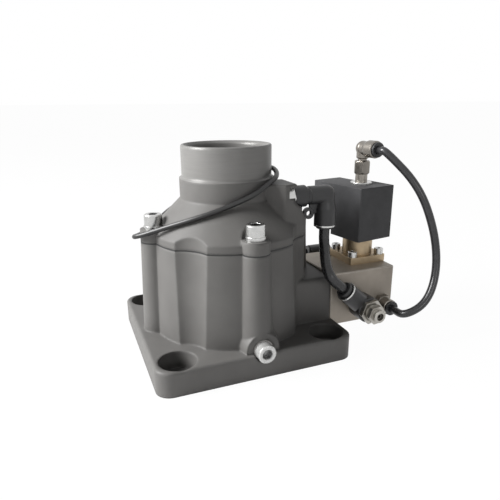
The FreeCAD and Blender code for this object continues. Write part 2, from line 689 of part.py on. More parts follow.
node(turned("ArmatureTube", [
    (sleeve_in, flange_top), (sleeve_r, flange_top), (sleeve_r, coil_top), (4.8, coil_top),
    (4.8, sleeve_top), (2.5, sleeve_top), (2.5, core_top), (sleeve_in, core_top)],
    (sol_x, sol_y, 0)), "armature_tube")
node(turned("FixedCore", [
    (1.2, core_low), (sleeve_in - 0.05, core_low), (sleeve_in - 0.05, core_top),
    (1.2, core_top)], (sol_x, sol_y, 0)), "fixed_core")
node(turned("SolenoidPlunger", [
    (0, flange_top + 0.05), (2.6, flange_top + 0.05), (sleeve_in - 0.06, flange_top + 3),
    (sleeve_in - 0.06, core_low - 2.3), (3.8, core_low - 2.3), (3.8, 76), (0, 76)],
    (sol_x, sol_y, 0)), "solenoid_plunger")
node(coil_spring("PlungerSpring", 2.9, 0.4, 76, core_low, 5, (sol_x, sol_y, 0)), "plunger_spring")

# Coil, its winding, washers and the cable connector
coil_turn = 9.6
coil_spot = (sol_x, sol_y, 0)
coil_cos = math.cos(math.radians(coil_turn))
coil_sin = math.sin(math.radians(coil_turn))
coil_box = rounded("CoilRound", box("CoilBox", (-coil_half, -coil_front, coil_low),
                                    (coil_half, coil_back, coil_top)), 1.2,
                   lambda p, e: e.BoundBox.ZLength > 40)
coil_soft = rounded("CoilSoft", coil_box, 0.6, lambda p, e: abs(p.z - float(coil_top)) < 0.01)
pad_top_z = coil_top - 6
conn_front = coil_back + 3
conn_low = coil_low + 12
conn_mid = conn_low + 8
terminal_pad = box("TerminalPad", (-9.5, coil_back - 1, coil_low + 9.5), (9.5, coil_back + 2.5, pad_top_z))
winding_low = coil_low + 4
winding_high = coil_top - 6
coil_all = joined("CoilAll", [coil_soft, terminal_pad])
coil_tools = [rod("CoilBore", sleeve_r + 0.1, 60, (0, 0, coil_low - 5)),
              rod("ConnectorScrewThread", 1.5, 5, (0, coil_back - 0.6, conn_mid), BACK),
              ring("WindingSpace", 8, 13, winding_low, winding_high)]
node(put(cut("SolenoidCoil", coil_all, coil_tools), coil_spot, (0, 0, 1), coil_turn), "solenoid_coil")
node(ring("CoilWinding", 8.05, 12.95, winding_low + 0.05, winding_high - 0.05, (sol_x, sol_y, 0)),
     "coil_winding")
low_washer = ring("CoilLowWasher", sleeve_r + 0.1, 13, neck_top_z, coil_low, (sol_x, sol_y, 0))
top_washer = turned("CoilTopWasher", [
    (5, coil_top), (8.5, coil_top), (8.5, coil_top + 1.3), (8, coil_top + 1.8),
    (5, coil_top + 1.8)], (sol_x, sol_y, 0))
node(group("CoilWashers", [low_washer, top_washer]), "coil_washers")
conn_back = conn_front + 26
conn_top = coil_top - 1.2
gasket_cut = cut("ConnectorGasket", box(
    "ConnectorGasketSheet", (-9.5, coil_back + 2.5, conn_low), (9.5, conn_front, pad_top_z)), [
    rod("ConnectorGasketHole", 2, 4, (0, coil_back + 1, conn_mid), BACK)])
node(put(gasket_cut, coil_spot, (0, 0, 1), coil_turn), "connector_gasket")
conn_box = rounded("ConnectorRound", box("ConnectorBox", (-13.8, conn_front, conn_low),
                                         (13.8, conn_back, conn_top)), 2.5,
                   lambda p, e: e.BoundBox.ZLength > 20 and p.y > float(conn_back) - 1
                   or e.BoundBox.XLength > 20 and p.y > float(conn_back) - 1)
conn_screw_y = conn_back - 2
conn_cut = cut("ConnectorCut", conn_box, [
    box("ConnectorSpace", (-10, conn_front - 1, conn_low + 12), (10, conn_back - 5, conn_top - 4)),
    rod("ConnectorWire", 4, 12, (0, conn_back - 13, conn_low - 1)),
    rod("ConnectorWireWay", 4, 14, (0, conn_back - 13, conn_low)),
    rod("ConnectorScrewHole", 1.7, 30, (0, conn_front - 1, conn_mid), BACK),
    rod("ConnectorScrewRecess", 3.2, 6, (0, conn_screw_y, conn_mid), BACK)])
node(put(conn_cut, coil_spot, (0, 0, 1), coil_turn), "coil_connector")
conn_screw_blank = turned("ConnectorScrewBlank", [
    (0, -27), (1.45, -27), (1.45, 0), (2.9, 0), (2.9, 1.1), (2.5, 1.6), (0, 1.6)],
    (0, conn_screw_y, conn_mid), BACK)
conn_screw = cut("ConnectorScrewCut", conn_screw_blank, [
    box("ConnectorScrewSlot", (-4, conn_screw_y + 0.8, conn_mid - 0.4),
        (4, conn_screw_y + 3, conn_mid + 0.4))])
node(put(conn_screw, coil_spot, (0, 0, 1), coil_turn), "connector_screw")
gland_y = conn_back - 13
gland_at = (sol_x - gland_y * coil_sin, sol_y + gland_y * coil_cos, conn_low)
DOWN = (0, 0, -1)
node(turned("CableGland", [
    (4.2, 0), (4.2, 9.2), (5.2, 10.5), (6.8, 10.5), (7.5, 9.6), (7.5, 1.5), (6.9, 0)], gland_at, DOWN),
     "cable_gland")
node(ring("GlandSeal", 2.6, 4.1, 2, 9, gland_at, DOWN), "gland_seal")

# Nickel elbow on top of the armature tube
stud_top = sleeve_top + 10.7
node(cut("VentStud", joined("VentStudAll", [
    nut("VentStudHex", 11.6, sleeve_top, stud_top, 0, 1.4, (sol_x, sol_y, 0)),
    rod("VentStudThread", 2.45, 5, (sol_x, sol_y, sleeve_top - 5)),
    rod("VentStudNeck", 3.5, 7, (sol_x, sol_y, stud_top))]),
    [rod("VentStudBore", 1.3, 40, (sol_x, sol_y, sleeve_top - 8))]), "vent_stud")
VENT = (0.087156, -0.996195, 0)
vent_reach = 16
vent_face = (sol_x + vent_reach * VENT[0], sol_y + vent_reach * VENT[1], vent_z)
VENT_IN = (-VENT[0], -VENT[1], 0)
vent_out_spot = (vent_face[0] + VENT[0], vent_face[1] + VENT[1], vent_z)
vent_out = joined("VentElbowOuter", [
    turned("VentElbowArm", [(0, 0), (5.6, 0), (5.6, 5), (6.7, 8), (6.7, vent_reach - 0.8),
                            (5.9, vent_reach), (0, vent_reach)], (sol_x, sol_y, vent_z), VENT),
    ball("VentElbowCorner", 5.75, (sol_x, sol_y, vent_z)),
    turned("VentElbowHub", [(0, 137.5), (4.4, 137.5), (4.9, 138.2), (4.9, vent_z), (0, vent_z)],
           (sol_x, sol_y, 0))])
node(cut("VentElbow", vent_out, [
    turned("VentElbowStudBore", [
        (0, 136.5), (3.55, 136.5), (3.55, stud_top + 7), (2, stud_top + 7), (2, vent_z), (0, vent_z)],
           (sol_x, sol_y, 0)),
    ball("VentElbowTurn", 2.1, (sol_x, sol_y, vent_z)),
    rod("VentElbowAcross", 2, 10, (sol_x, sol_y, vent_z), VENT),
    rod("VentElbowTube", exhaust_r + tube_gap, 7.5, vent_out_spot, VENT_IN),
    rod("VentElbowCollet", 4.8, 6, vent_out_spot, VENT_IN)]), "vent_elbow")


def collet(name, tube, at, along, rim=1.6, hole=1.7):
    """Release ring of a push-in fitting, standing a little out of the fitting's face."""
    return turned(name, [
        (tube + tube_gap, -3.6), (tube + hole, -3.6), (tube + hole, 1), (tube + rim + 1.2, 1),
        (tube + rim + 1.2, 1.9), (tube + rim + 0.8, 2.4), (tube + tube_gap, 2.4)], at, along)


node(collet("VentCollet", exhaust_r, vent_face, VENT), "vent_collet")

# Straight push-in fitting low on the block
return_face = (return_x, -block_front - 12.5, return_z)
return_all = joined("ReturnAll", [
    hexagon("ReturnHex", 13, 4.5, (return_x, -block_front, return_z), FRONT, 0),
    turned("ReturnSleeve", [
        (0, -9), (4.85, -9), (4.85, 0), (6.2, 0), (6.2, 11.9), (5.6, 12.5), (0, 12.5)],
        (return_x, -block_front, return_z), FRONT)])
node(cut("ReturnFitting", return_all, [
    rod("ReturnWay", 1.8, 30, (return_x, -block_front + 12, return_z), FRONT),
    rod("ReturnTube", exhaust_r + tube_gap, 5.5, return_face, BACK),
    rod("ReturnCollet", 4.8, 5, return_face, BACK)]), "return_fitting")
node(collet("ReturnReleaseRing", exhaust_r, return_face, FRONT), "return_collet")

# Black elbow that takes the control line from the cover
stud_length = 6.6
node(cut("ControlStud", joined("ControlStudAll", [
    hexagon("ControlStudHex", 16, stud_length, (port_seat, port_y, port_z), X_OUT, 30),
    rod("ControlStudThread", 6.45, 9, (port_seat, port_y, port_z), X_IN),
    rod("ControlStudSpigot", 5, 14, (port_seat + stud_length, port_y, port_z), X_OUT)]),
    [rod("ControlStudBore", 3, 60, (port_seat - 15, port_y, port_z), X_OUT)]), "control_stud")
arm_start = port_seat + stud_length + 0.1
bend_r = 6.9
sleeve_low = 92
sleeve_shoulder = 104.5
control_arm = turned("ControlArm", [
    (0, 0), (7.5, 0), (8, 0.5), (8, 10.6), (7.4, 11.2), (6.4, 11.6), (6.4, 13.8), (bend_r, 14.4),
    (bend_r, elbow_x - arm_start), (0, elbow_x - arm_start)], (arm_start, port_y, port_z), X_OUT)
control_bend = ball("ControlBend", bend_r, (elbow_x, port_y, port_z))
control_down = turned("ControlDown", [
    (0, sleeve_low), (8.2, sleeve_low), (8.2, sleeve_shoulder), (bend_r, sleeve_shoulder + 5),
    (bend_r, port_z), (0, port_z)], (elbow_x, port_y, 0))
eye = cut("ControlEye", joined("ControlEyeAll", [
    rod("EyeRing", 4.25, 3, (54.6, port_y + 1.5, 101.6), FRONT),
    box("EyeWeb", (55.5, port_y - 1, 101.5), (63, port_y + 1, 110.5))]),
    [rod("EyeHole", 2, 8, (54.6, port_y + 4, 101.6), FRONT)])
control_all = joined("ControlElbowAll", [control_arm, control_bend, control_down, eye])
node(cut("ControlElbow", control_all, [
    rod("ControlElbowStudBore", 5.05, 15, (arm_start - 1, port_y, port_z), X_OUT),
    rod("ControlElbowWay", 3, 24, (arm_start, port_y, port_z), X_OUT),
    rod("ControlElbowDown", 3, port_z - sleeve_low, (elbow_x, port_y, sleeve_low)),
    rod("ControlElbowTube", control_r + tube_gap, 7, (elbow_x, port_y, sleeve_low - 1)),
    rod("ControlElbowCollet", 6, 6, (elbow_x, port_y, sleeve_low - 1))]), "control_elbow")
control_band = ring("ControlBand", 6.6, 8.25, sleeve_low - 1.3, sleeve_low, (elbow_x, port_y, 0))
collet_top = sleeve_low + 3.6
node(turned("ControlCollet", [
    (control_r + tube_gap, collet_top), (5.7, collet_top), (5.7, sleeve_low - 2), (6.3, sleeve_low - 2),
    (6.3, sleeve_low - 2.9), (5.9, sleeve_low - 3.2), (control_r + tube_gap, sleeve_low - 3.2)],
    (elbow_x, port_y, 0)), "control_collet")

# Banjo fitting with flow control on the block's front
banjo_at = (banjo_x, -block_front, banjo_z)
eye_high = 2 * banjo_mid_y - 3.1
hex_high = eye_high + 3.5
node(ring("BanjoCollar", 6.2, 9.5, 0, 3, banjo_at, FRONT), "banjo_collar")
bolt_all = joined("BanjoBoltAll", [
    turned("BanjoBoltStem", [
        (0, -13), (6.5, -13), (6.5, -0.5), (6, 0), (6, hex_high + 2), (4.9, hex_high + 3),
        (4.9, 31), (4.4, 31.5), (0, 31.5)], banjo_at, FRONT),
    hexagon("BanjoBoltHex", 17, hex_high - eye_high, (banjo_x, -block_front - eye_high, banjo_z), FRONT, 8),
    hexagon("BanjoLockHex", 13, 4.4, (banjo_x, -block_front - hex_high - 1.5, banjo_z), FRONT, 8)])
node(cut("BanjoBolt", bolt_all, [
    rod("BanjoBoltRecess", 2.9, 9, (banjo_x, -block_front - 27.5, banjo_z), FRONT),
    rod("BanjoBoltNeedleWay", 2.4, 22, (banjo_x, -block_front - 8, banjo_z), FRONT),
    rod("BanjoBoltWay", 2, 30, (banjo_x, -block_front + 14, banjo_z), FRONT),
    rod("BanjoBoltCross", 2, 20, (banjo_x - 10, -block_front - banjo_mid_y, banjo_z), X_OUT)]),
     "banjo_bolt")
SLEEVE = (-0.743145, 0, 0.669131)
sleeve_reach = 22.6
banjo_mid = (banjo_x, -block_front - banjo_mid_y, banjo_z)


def along_sleeve(reach):
    """A point on the sleeve's axis, at a distance from the banjo's eye."""
    return (banjo_x + reach * SLEEVE[0], -block_front - banjo_mid_y, banjo_z + reach * SLEEVE[2])


INWARD = (-SLEEVE[0], 0, -SLEEVE[2])
sleeve_face = along_sleeve(sleeve_reach)
banjo_all = joined("BanjoAll", [
    turned("BanjoEye", [(0, 3.05), (9.2, 3.05), (10, 3.9), (10, eye_high - 0.9), (9.2, eye_high - 0.05),
                        (0, eye_high - 0.05)], banjo_at, FRONT),
    rod("BanjoSleeve", 7.75, sleeve_reach, banjo_mid, SLEEVE)])
node(cut("BanjoBody", banjo_all, [
    rod("BanjoEyeBore", 6.05, 22, (banjo_x, -block_front, banjo_z), FRONT),
    rod("BanjoWay", 3, 18, banjo_mid, SLEEVE),
    rod("BanjoTubeBore", control_r + tube_gap, 7.6, along_sleeve(sleeve_reach + 1), INWARD),
    rod("BanjoColletBore", 6, 6, along_sleeve(sleeve_reach + 1), INWARD)]), "banjo_body")
banjo_band = ring("BanjoBand", 6.6, 7.8, 0, 1.2, sleeve_face, SLEEVE)
node(group("FittingBands", [control_band, banjo_band]), "fitting_bands")
node(turned("BanjoCollet", [
    (control_r + tube_gap, -4), (5.7, -4), (5.7, 1.6), (6.3, 1.6), (6.3, 3.8), (5.9, 4.4),
    (control_r + tube_gap, 4.4)], sleeve_face, SLEEVE), "banjo_collet")
needle = turned("FlowNeedle", [
    (0, 9), (1.6, 12), (2.35, 12.6), (2.35, 27.6), (2.7, 28), (2.7, 29.8), (0, 29.8)], banjo_at, FRONT)
node(cut("FlowScrew", needle, [
    hexagon("FlowScrewSocket", 2.5, 3, (banjo_x, -block_front - 27.8, banjo_z), FRONT)]), "flow_screw")

# Rear push-in elbow
node(cut("RearStud", joined("RearStudAll", [
    hexagon("RearStudHex", 11, 5, (rear_x, block_back, rear_z), BACK, 0),
    rod("RearStudThread", 4, 8, (rear_x, block_back, rear_z), FRONT),
    rod("RearStudSpigot", 3.5, 13, (rear_x, block_back + 5, rear_z), BACK)]),
    [rod("RearStudBore", 1.5, 40, (rear_x, block_back - 10, rear_z), BACK)]), "rear_stud")
rear_face = (rear_x - 15.5, rear_y, rear_z)
rear_all = joined("RearAll", [
    turned("RearArm", [(0, 5.1), (5.6, 5.1), (5.6, 19.5), (0, 19.5)], (rear_x, block_back, rear_z), BACK),
    turned("RearSleeve", [(0, -5.8), (4.8, -5.8), (6, -4.6), (6, 15.5), (0, 15.5)],
           (rear_x, rear_y, rear_z), X_IN)])
node(cut("RearElbow", rear_all, [
    rod("RearElbowStudBore", 3.55, 14, (rear_x, block_back + 5, rear_z), BACK),
    rod("RearElbowWay", 2, 12, (rear_x - 10, rear_y, rear_z), X_OUT),
    rod("RearElbowTube", exhaust_r + tube_gap, 12, rear_face, X_OUT),
    rod("RearElbowCollet", 4.8, 5, rear_face, X_OUT)]), "rear_elbow")
node(collet("RearCollet", exhaust_r, rear_face, X_IN), "rear_collet")


# Tubes: straight runs joined by tangent arcs
def corner_path(points, closed=False):
    """Straight runs and tangent arcs through a chain of corner points, with the arc radii."""
    spots = [Vector(*[float(v) for v in p]) for p in points]
    count = len(spots)
    edges = []
    radii = []
    start = spots[0]
    corners = range(1, count - 1)
    if closed:
        start = None
        corners = range(count)
    for i in corners:
        back = spots[i - 1] - spots[i]
        ahead = spots[(i + 1) % count] - spots[i]
        reach = 0.45 * min(back.Length, ahead.Length)
        back.normalize()
        ahead.normalize()
        half_turn = (math.pi - back.getAngle(ahead)) / 2
        radii.append(reach / math.tan(half_turn))
        enter = spots[i] + back * reach
        leave = spots[i] + ahead * reach
        inward = back + ahead
        inward.normalize()
        middle = spots[i] + inward * (radii[-1] / math.cos(half_turn) - radii[-1])
        if start is None:
            first = enter
        else:
            edges.append(Part.LineSegment(start, enter).toShape())
        edges.append(Part.Arc(enter, middle, leave).toShape())
        start = leave
    last = first if closed else spots[-1]
    edges.append(Part.LineSegment(start, last).toShape())
    return Part.Wire(edges), radii


def tube(name, points, radius):
    """A round tube along a corner path."""
    wire, radii = corner_path(points)
    first = Vector(*[float(v) for v in points[0]])
    second = Vector(*[float(v) for v in points[1]])
    section = Part.Wire([Part.Circle(first, second - first, float(radius)).toShape()])
    made = doc.addObject("Part::Feature", name)
    made.Shape = wire.makePipeShell([section], True, False)
    made.Placement = Placement()
    print(name, "length", round(wire.Length, 1), "arc radii", [round(r, 1) for r in radii],
          "volume over section length", round(made.Shape.Volume / (math.pi * float(radius) ** 2
                                                                  * wire.Length), 4))
    return made


control_points = [
    (elbow_x, port_y, sleeve_low + 6), (elbow_x, port_y, sleeve_low - 14),
    along_sleeve(sleeve_reach + 24.4), along_sleeve(sleeve_reach - 6.6)]
exhaust_points = [
    (sol_x + 10.5 * VENT[0], sol_y + 10.5 * VENT[1], vent_z),
    (sol_x + 29 * VENT[0], sol_y + 29 * VENT[1], vent_z), (132.3, -52, 120), (142.6, -60, 89.1),
    (138.8, -66, 55.2), (133.8, -70, 37.8), (return_x, -66.5, return_z),
    (return_x, -block_front - 7, return_z)]
node(tube("ControlTube", control_points, control_r), "control_tube")
node(tube("ExhaustTube", exhaust_points, exhaust_r), "exhaust_tube")

# Loose rubber ring hung round the neck: the seal for the mounting face, not yet fitted
seal_spots = [
    (-68.2, 0, 89.5), (-65.5, -8, 92), (-57, -14, 96.6), (-47.4, -21.5, 101), (-35.8, -30.5, 106),
    (-22.5, -35.8, 110.7), (-8, -37.2, 115.4), (7, -37.8, 121), (16.4, -35, 126),
    (22.5, -31.4, 128.6), (28.6, -26.2, 130.4), (35.2, -14.4, 132.2), (37.6, 0, 132.8), (35.4, 15, 128.5), (27.8, 27.6, 122.6),
    (15.4, 37, 116.4), (-2, 41.6, 112.1), (-18, 41.5, 108.4), (-33, 37.5, 103.3), (-47, 29.5, 98),
    (-58, 19, 93.3), (-65.8, 9, 90.4)]
seal_spots = [(x, y, z + float(cone_head) - 114.4) for x, y, z in seal_spots]
seal_r = 1.75
seal_wire, seal_radii = corner_path(seal_spots, True)
seal_edge = seal_wire.Edges[0]
seal_section = Part.Wire([Part.Circle(seal_edge.valueAt(seal_edge.FirstParameter),
                                      seal_edge.tangentAt(seal_edge.FirstParameter),
                                      seal_r).toShape()])
seal_sweep = Part.BRepOffsetAPI.MakePipeShell(seal_wire)
seal_sweep.setBiNormalMode(Vector(-0.4, 0, 0.9))
seal_sweep.add(seal_section)
seal_sweep.build()
seal_sweep.makeSolid()
mounting_seal = doc.addObject("Part::Feature", "MountingSeal")
mounting_seal.Shape = seal_sweep.shape()
mounting_seal.Placement = Placement()
node(mounting_seal, "mounting_seal")
print("mounting_seal length", round(seal_wire.Length, 1), "least arc radius", round(min(seal_radii), 1))

doc.recompute()
faults = 0
for thing in doc.Objects:
    if "Invalid" in thing.State or "Error" in thing.State:
        print("state", thing.Name, thing.State)
        faults = faults + 1
for made in nodes:
    shape = made.Shape
    if shape.isNull() or not shape.isValid() or len(shape.Solids) == 0:
        print("shape", made.Label, "null" if shape.isNull() else len(shape.Solids))
        faults = faults + 1

os.makedirs("parts", exist_ok=True)
for made in nodes:
    made.Shape.exportStep("parts/%s.step" % made.Label)
    b = made.Shape.BoundBox
    print("%-22s solids %d vol %9.1f  x %7.2f %7.2f y %7.2f %7.2f z %7.2f %7.2f" % (
        made.Label, len(made.Shape.Solids), made.Shape.Volume,
        b.XMin, b.XMax, b.YMin, b.YMax, b.ZMin, b.ZMax))
print("nodes", len(nodes), "faults", faults)
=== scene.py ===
import math

import bpy
import numpy as np
from mathutils import Matrix, Vector


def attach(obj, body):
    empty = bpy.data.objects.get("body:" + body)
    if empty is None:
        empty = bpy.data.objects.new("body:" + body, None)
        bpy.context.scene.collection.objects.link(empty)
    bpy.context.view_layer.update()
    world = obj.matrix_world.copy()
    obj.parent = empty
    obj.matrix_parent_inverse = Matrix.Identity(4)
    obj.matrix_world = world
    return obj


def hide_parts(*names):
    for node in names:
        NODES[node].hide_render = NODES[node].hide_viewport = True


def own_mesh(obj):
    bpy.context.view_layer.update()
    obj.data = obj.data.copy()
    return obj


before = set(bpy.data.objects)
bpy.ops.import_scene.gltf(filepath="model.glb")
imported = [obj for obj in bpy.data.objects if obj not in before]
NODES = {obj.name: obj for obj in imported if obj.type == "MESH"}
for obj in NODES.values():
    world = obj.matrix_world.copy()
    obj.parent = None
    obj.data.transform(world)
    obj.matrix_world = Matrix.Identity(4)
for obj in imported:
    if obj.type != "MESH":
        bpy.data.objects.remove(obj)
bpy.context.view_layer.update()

bl_info = {
    "name": "Intake Valve Looks",
    "version": (1, 0, 0),
    "blender": (4, 5, 0),
    "location": "View3D > Sidebar > Intake Valve",
    "description": "Surfaces, finishes, air lines and studio for a compressor intake valve",
    "category": "Object",
}

MM = 0.001

# Where the top elbow's arm and the banjo's sleeve start, in millimetres, and the ways they point
VENT_START = (112.2, -8, 145.5)
VENT_WAY = (0.087156, -0.996195, 0.0)
BANJO_START = (94.5, -48.4, 28)
BANJO_WAY = (-0.743145, 0.0, 0.669131)


def along(start, way, reach):
    """The point at this reach from a start, in millimetres."""
    return tuple(s + reach * w for s, w in zip(start, way))


# Routes of the two air lines, in millimetres. Three points on an end's own line keep the air line
# straight where it leaves its fitting. The exhaust line bows a little further out than the solid's.
CONTROL_ROUTE = [(69.1, -26, z) for z in (98, 87, 78)] + [
    along(BANJO_START, BANJO_WAY, reach) for reach in (47, 28, 16)]
EXHAUST_ROUTE = [along(VENT_START, VENT_WAY, reach) for reach in (10.5, 20, 26)] + [
    (133.7, -52, 120.1), (145.5, -60, 86.2), (146.4, -66, 56), (135.2, -71, 33.6), (118, -67, 24),
    (118, -54, 24), (118, -44.5, 24)]
CONTROL_LENGTH = 76.0
EXHAUST_LENGTH = 182.0

# Route of the loose seal that hangs round the neck, in millimetres. Behind the neck it hangs lower
# than the solid's, and on the right it sits closer to the neck.
SEAL_ROUTE = [
    (-71, -1.5, 90.5), (-65.5, -8.5, 93), (-57, -14, 96.6), (-47.4, -21.5, 101), (-35.8, -30.5, 106),
    (-22.5, -35.8, 110.7), (-8, -37.2, 115.4), (7, -37.8, 121), (16.4, -35, 126),
    (22.5, -31.4, 128.6), (28.6, -26.2, 130.6), (33.9, -14, 133), (35.2, 0, 134.2),
    (34, 15, 129.5), (27.8, 27.6, 122.6), (15.4, 37, 116.4), (-2, 41.6, 112.1),
    (-18, 41.5, 108.4), (-35, 43, 98.5), (-51, 34, 88.5), (-60.5, 20, 87), (-67.5, 9.5, 88)]

# Places on the solids that the finishes go by, in metres: the heights where the neck's turned band
# fades in, the inlet's bore, the cover's screws on their two axes, the front plug, and their sockets,
# into which shade is painted
BAND_FOOT = (0.1288, 0.1292)
BORE_RADIUS = 0.0316
BORE_FOOT = 0.0885
SCREW_OFFSET = 0.056
SCREW_SOCKET_MOUTH = 0.1053
PLUG_X = 0.001
PLUG_Z = 0.0197
PLUG_SOCKET_MOUTH = -0.0747
SOCKET_RADIUS = 0.0036

# The photo's camera: its place in metres, its turn, dip and tilt in degrees, and its lens
CAMERA_PLACE = (-0.114961, -0.33577, 0.181799)
CAMERA_ANGLES = (21.625, 17.232, -0.363)
SENSOR_WIDTH = 36.0
FOCAL_PIXELS = 480.466
PHOTO_PIXELS = 500.0

# The studio: the floor's reach in metres, how much of it shows as plain light, how much light the
# backdrop gives, and the point that the lamps face
FLOOR_REACH = 40.0
FLOOR_GLOW = 0.975
BACKDROP_LIGHT = 0.135
LAMP_AIM = (0.03, 0.0, 0.07)


# Shader arithmetic

class Value:
    """One output of a shader node, with the operators that the finishes use."""

    def __init__(self, shader, link):
        self.shader = shader
        self.link = link

    def _with(self, operation, *others):
        return self.shader.add("ShaderNodeMath", {"operation": operation},
                               dict(enumerate((self,) + others)))

    def __add__(self, other):
        return self._with("ADD", other)

    def __mul__(self, other):
        return self._with("MULTIPLY", other)

    def __sub__(self, other):
        return self._with("SUBTRACT", other)

    def __rsub__(self, other):
        return self.shader.add("ShaderNodeMath", {"operation": "SUBTRACT"}, {0: other, 1: self})

    def __gt__(self, other):
        return self._with("GREATER_THAN", other)

    def __lt__(self, other):
        return self._with("LESS_THAN", other)

    def __abs__(self):
        return self._with("ABSOLUTE")

    def power(self, other):
        return self._with("POWER", other)

    def most(self, other):
        return self._with("MAXIMUM", other)

    def between(self, low, high):
        """Zero below low, one above high, and a straight ramp in between."""
        return self.shader.add("ShaderNodeMapRange", {"clamp": True},
                               {"Value": self, "From Min": low, "From Max": high})


class Shader:
    """A node tree, written node by node."""

    def __init__(self, tree):
        self.nodes = tree.nodes
        self.links = tree.links

    def add(self, kind, settings=None, inputs=None, out=0):
        """Make a node with its settings first, then the values or links of its sockets."""
        made = self.nodes.new(kind)
        for name, value in (settings or {}).items():
            setattr(made, name, value)
        for key, value in (inputs or {}).items():
            self.put(made.inputs[key], value)
        return Value(self, made.outputs[out])

    def put(self, socket, value):
        """Link a value into a socket, or set it there."""
        if isinstance(value, Value):
            self.links.new(value.link, socket)
        elif isinstance(value, tuple) and len(value) == 3 and len(socket.default_value) == 4:
            socket.default_value = value + (1.0,)
        else:
            socket.default_value = value

    def ray(self, kind):
        """One for rays of this kind and zero for others."""
        return self.add("ShaderNodeLightPath", out="Is %s Ray" % kind)


class Finish(Shader):
    """A procedural material."""

    def __init__(self, name):
        self.material = bpy.data.materials.new(name)
        self.material.use_nodes = True
        super().__init__(self.material.node_tree)
        self.surface = self.nodes["Principled BSDF"]

    def place(self):
        """Object coordinates."""
        return self.add("ShaderNodeTexCoord", out="Object")

    def parts(self, vector):
        """The three numbers of a vector."""
        made = self.nodes.new("ShaderNodeSeparateXYZ")
        self.put(made.inputs[0], vector)
        return [Value(self, made.outputs[i]) for i in range(3)]

    def vector(self, x, y, z):
        return self.add("ShaderNodeCombineXYZ", None, {0: x, 1: y, 2: z})

    def noise(self, vector, scale, detail, stretch=None):
        """Noise from zero to one, at scale cells to the metre."""
        if stretch:
            vector = self.add("ShaderNodeVectorMath", {"operation": "MULTIPLY"},
                              {0: vector, 1: stretch})
        return self.add("ShaderNodeTexNoise", {"noise_dimensions": "3D"},
                        {"Vector": vector, "Scale": scale, "Detail": detail, "Roughness": 0.55})

    def cells(self, vector, scale):
        """Distance to the nearest of scattered spots, at scale spots to the metre."""
        return self.add("ShaderNodeTexVoronoi", None, {"Vector": vector, "Scale": scale})

    def mix(self, amount, first, second):
        """Colour that goes from the first to the second as the amount rises."""
        return self.add("ShaderNodeMix", {"data_type": "RGBA"},
                        {0: amount, 6: first, 7: second}, out=2)

    def soft_edges(self, radius):
        """Normal of the surface with its edges rounded."""
        return self.add("ShaderNodeBevel", {"samples": 4}, {"Radius": radius})

    def edge_wear(self, radius):
        """Zero on open faces, near one on edges: how far the rounded normal leans from the true one."""
        rounded = self.soft_edges(radius)
        true = self.add("ShaderNodeNewGeometry", out="Normal")
        lean = self.add("ShaderNodeVectorMath", {"operation": "DOT_PRODUCT"},
                        {0: rounded, 1: true}, out="Value")
        return (1.0 - lean).between(0.01, 0.22)

    def bump(self, height, distance, strength, edges=None):
        """Normal that follows a height, whose full step is this distance in metres."""
        inputs = {"Height": height, "Distance": distance, "Strength": strength}
        if edges is not None:
            inputs["Normal"] = edges
        return self.add("ShaderNodeBump", None, inputs)

    def set(self, **values):
        """Set or link sockets of the surface shader."""
        for name, value in values.items():
            self.put(self.surface.inputs[name.replace("_", " ")], value)
        return self.material


# Pieces

def new_piece(name, data):
    """An object in the scene that holds this mesh, curve, camera or lamp."""
    piece = bpy.data.objects.new(name, data)
    bpy.context.scene.collection.objects.link(piece)
    return piece


def floor_piece(name, reach):
    """A flat square of four faces round the origin, whose sides lie at this reach, in metres."""
    side = (-reach, 0.0, reach)
    mesh = bpy.data.meshes.new(name)
    mesh.from_pydata([(x, y, 0.0) for y in side for x in side], [],
                     [(i, i + 1, i + 4, i + 3) for i in (0, 1, 3, 4)])
    return new_piece(name, mesh)


def curve_piece(name, route, radius, closed=False):
    """A round line along the control points of a smooth spline, in millimetres."""
    curve = bpy.data.curves.new(name, "CURVE")
    curve.dimensions = "3D"
    spline = curve.splines.new("NURBS")
    spline.points.add(len(route) - 1)
    for point, spot in zip(spline.points, route):
        point.co = (spot[0] * MM, spot[1] * MM, spot[2] * MM, 1.0)
    if closed:
        spline.use_cyclic_u = True
    else:
        spline.use_endpoint_u = True
    spline.order_u = 3
    spline.resolution_u = 24
    curve.bevel_depth = radius * MM
    curve.bevel_resolution = 8
    curve.use_fill_caps = True
    return new_piece(name, curve)


def wear(piece, finish):
    """Give a piece one material."""
    piece.data.materials.clear()
    piece.data.materials.append(finish)


def dress(finish, *names):
    """Give the solids of these names one material."""
    for name in names:
        wear(NODES[name], finish)


# Finishes

def scaled(colour, factor):
    """A colour made lighter or darker."""
    return tuple(min(1.0, factor * c) for c in colour)


